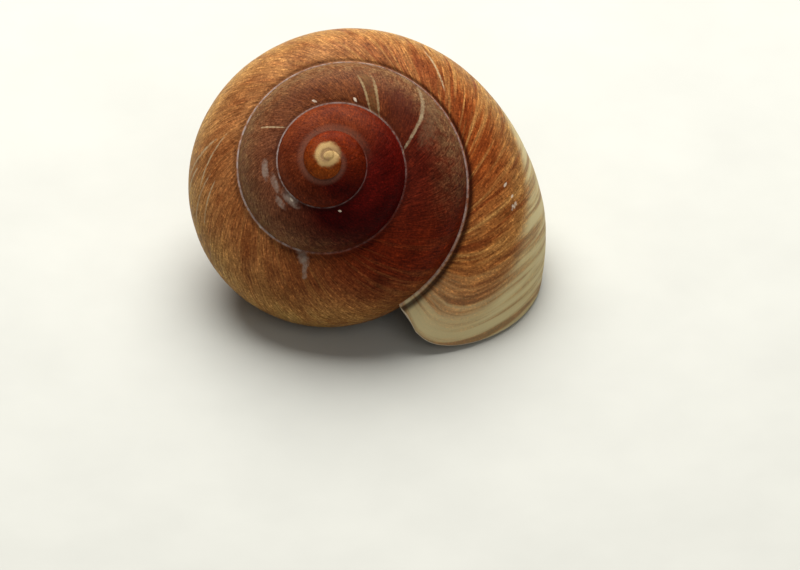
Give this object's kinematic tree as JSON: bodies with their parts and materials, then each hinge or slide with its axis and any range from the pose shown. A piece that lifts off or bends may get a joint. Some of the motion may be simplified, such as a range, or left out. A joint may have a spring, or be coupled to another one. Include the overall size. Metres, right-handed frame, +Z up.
{
  "type": "land snail shell",
  "caption": "Empty globe-shaped land snail shell with a low blunt spire and a wide mouth, lying on the lip of its mouth.",
  "frame": {"origin": "centre of the bounding box, on the surface that the shell lies on", "axes": "+Z up, the spire towards -Y and up, the mouth facing down at +X"},
  "size_m": [0.045, 0.0382, 0.0304],
  "materials": {
    "shell": "satin"
  },
  "bodies": {
    "root": {"shell": "shell"}
  },
  "joints": []
}
